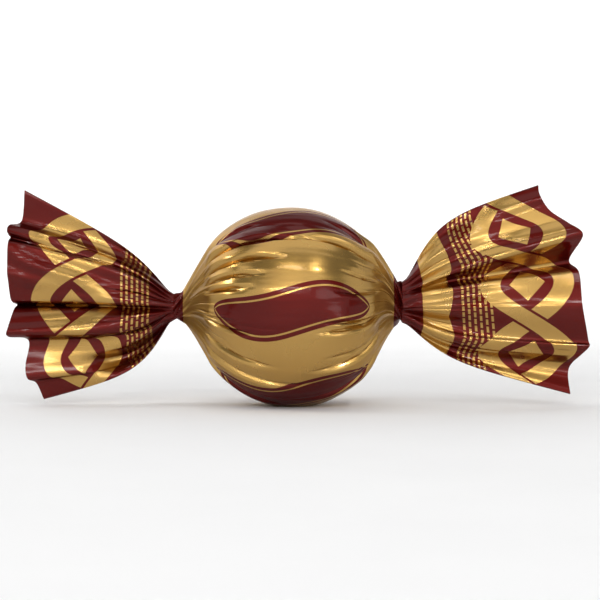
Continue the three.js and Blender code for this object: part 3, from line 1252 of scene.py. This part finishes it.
# %% Floor and backdrop
STAGE_WIDTH = 3.0
STAGE_FRONT = -1.2
STAGE_BACK = 0.7
STAGE_BEND = 0.4
STAGE_HEIGHT = 1.5
BEND_STEPS = 24


def sweep_profile():
    """The floor's line from front to back, a quarter round and the backdrop's line."""
    points = [(STAGE_FRONT, 0)]
    for step in range(BEND_STEPS + 1):
        turn = math.pi / 2 * step / BEND_STEPS
        points.append((STAGE_BACK + STAGE_BEND * math.sin(turn), STAGE_BEND * (1 - math.cos(turn))))
    points.append((STAGE_BACK + STAGE_BEND, STAGE_HEIGHT))
    return points


def pale_floor():
    """A floor and backdrop in one sheet."""
    sheet = bmesh.new()
    rows = []
    for y, z in sweep_profile():
        rows.append([sheet.verts.new((x, y, z)) for x in (-STAGE_WIDTH / 2, STAGE_WIDTH / 2)])
    for (a, b), (c, d) in zip(rows, rows[1:]):
        face = sheet.faces.new((a, b, d, c))
        face.smooth = True
    mesh = bpy.data.meshes.new("floor")
    sheet.to_mesh(mesh)
    sheet.free()
    floor = bpy.data.objects.new("floor", mesh)
    bpy.context.scene.collection.objects.link(floor)
    return floor


floor = pale_floor()
print("floor has", len(floor.data.polygons), "faces")

# %% [markdown]
# The floor is painted matt white. Real paint is never perfectly even, so noise gives it a faint mottle.

# %% Paint for the floor
PALE_PAINT = (0.87, 0.87, 0.87, 1)
PALER_PAINT = (0.91, 0.91, 0.91, 1)
PAINT_ROUGHNESS = 0.9
MOTTLE_SCALE = 30
MOTTLE_DETAIL = 3


def pale_paint():
    """Matt white paint with a faint mottle."""
    material, shader, place = new_material("pale_floor")
    tree = material.node_tree
    mottle = noise(place, MOTTLE_DETAIL, MOTTLE_SCALE) + 0.5
    feed(tree, shader.inputs["Base Color"], mix_colours(tree, mottle, PALE_PAINT, PALER_PAINT))
    shader.inputs["Roughness"].default_value = PAINT_ROUGHNESS
    return material


floor.data.materials.append(pale_paint())
print("floor is painted with", floor.data.materials[0].name)

# %% [markdown]
# Foil shows its folds by what it mirrors, so the light comes from soft oval panels with darker room between
# them. Two small bright keys give the glints. Two thin strips in front draw streaks along the crests of
# the folds, a round softbox at the right gives the ball its glow, and one panel lights the backdrop. All
# are stated by their radiance, which is how bright they look in the foil. Blender wants their power, which
# is the radiance times pi times the area.

# %% Soft light
BACKDROP_WALL = Vector((0, STAGE_BACK + STAGE_BEND, STAGE_BEND))
OVAL_AREA = math.pi / 4
ROOM_LIGHT = 0.21

# Name, place, what it is aimed at, size across, size down, radiance
SOFT_LIGHTS = [
    ("overhead panel", (0.0, 0.0, 0.6), BALL_CENTRE, 0.9, 0.5, 0.9),
    ("front panel", (0.0, -0.8, 0.20), BALL_CENTRE, 2.8, 0.9, 0.71),
    ("left side panel", (-0.85, 0.2, 0.30), BALL_CENTRE, 1.6, 0.6, 0.5),
    ("right side panel", (0.85, 0.2, 0.30), BALL_CENTRE, 1.6, 0.6, 0.6),
    ("left back panel", (-0.50, 0.55, 0.55), BALL_CENTRE, 0.5, 0.4, 1.4),
    ("left key", (-0.55, 0.03, 0.45), BALL_CENTRE, 0.18, 0.12, 14.0),
    ("right key", (0.30, -0.40, 0.52), BALL_CENTRE, 0.05, 0.04, 85.0),
    ("front strip", (0.0, -0.40, 0.46), BALL_CENTRE, 0.3, 0.012, 24.0),
    ("low strip", (-0.05, -0.72, 0.32), BALL_CENTRE, 0.7, 0.016, 36.0),
    ("right softbox", (0.48, -0.59, 0.25), BALL_CENTRE, 0.30, 0.22, 2.0),
    ("backdrop panel", (0.0, 0.35, 0.70), BACKDROP_WALL, 1.4, 0.3, 8.0),
]

for name, place, aim, across, down, radiance in SOFT_LIGHTS:
    light = bpy.data.lights.new(name, "AREA")
    light.shape = "ELLIPSE"
    light.size = across
    light.size_y = down
    light.energy = radiance * math.pi * (OVAL_AREA * across * down)
    lamp = bpy.data.objects.new(name, light)
    lamp.location = place
    lamp.rotation_euler = (aim - Vector(place)).to_track_quat("-Z", "Y").to_euler()
    bpy.context.scene.collection.objects.link(lamp)

world = bpy.data.worlds.new("room")
world.use_nodes = True
room = world.node_tree.nodes["Background"].inputs
room["Color"].default_value = (1, 1, 1, 1)
room["Strength"].default_value = ROOM_LIGHT
bpy.context.scene.world = world
bpy.context.scene.view_settings.view_transform = "Standard"
print(len(SOFT_LIGHTS), "soft lights")

# %% [markdown]
# The picture was taken from far away and almost level, so the camera has a long lens and looks down by
# only two degrees. It stands where the picture's width just holds the wrapper, and it aims a little past
# the ball's centre, because the two tails differ.

# %% Camera
SENSOR = 36
LENS = 135
PICTURE_WIDTH = 108.7 * MM
CAMERA_ELEVATION = math.radians(2)
AIM_RIGHT = 1.45 * MM
AIM_UP = 1.36 * MM
AIM = BALL_CENTRE + Vector((AIM_RIGHT, 0, AIM_UP))

camera_data = bpy.data.cameras.new("camera")
camera_data.sensor_width = SENSOR
camera_data.lens = LENS
camera = bpy.data.objects.new("camera", camera_data)
distance = PICTURE_WIDTH * LENS / SENSOR
camera.location = AIM + Vector((0, -math.cos(CAMERA_ELEVATION), math.sin(CAMERA_ELEVATION))) * distance
camera.rotation_euler = (math.pi / 2 - CAMERA_ELEVATION, 0, 0)
bpy.context.scene.collection.objects.link(camera)
bpy.context.scene.camera = camera
print("camera stands", round(distance / MM), "mm away")
